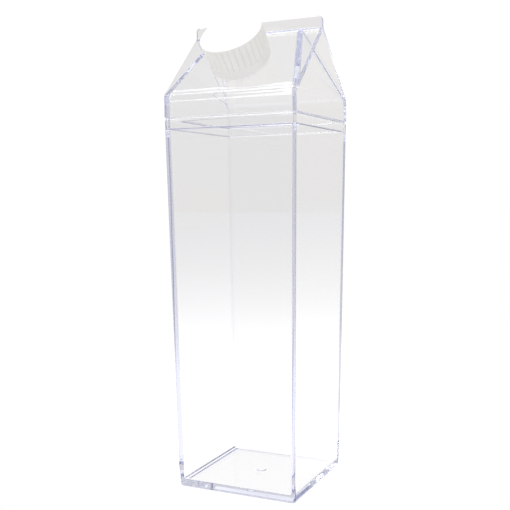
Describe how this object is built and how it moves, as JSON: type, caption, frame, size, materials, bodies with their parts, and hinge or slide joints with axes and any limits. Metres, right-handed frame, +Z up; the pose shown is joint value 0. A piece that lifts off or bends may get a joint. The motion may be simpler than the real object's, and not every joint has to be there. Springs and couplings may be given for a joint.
{
  "type": "gable top bottle",
  "caption": "Empty clear plastic drink bottle shaped like a gable-top carton, square and slightly tapered, with a round white ribbed screw cap on its front roof slope.",
  "frame": {"origin": "middle of the flat underside, on the surface that the bottle stands on", "axes": "+Z up, +X along the roof's ridge, -Y towards the front, where the cap is"},
  "size_m": [0.0752, 0.0821, 0.2519],
  "materials": {
    "body_plastic": "clear, colourless, glossy styrene plastic with a faint blue-violet tint where it is thick",
    "top_plastic": "clear, colourless, glossy styrene plastic with a faint blue-violet tint where it is thick",
    "cap_plastic": "opaque white polypropylene, satin"
  },
  "bodies": {
    "root": {"bottle_body": "body_plastic", "gable_top": "top_plastic", "screw_cap": "cap_plastic"}
  },
  "joints": []
}
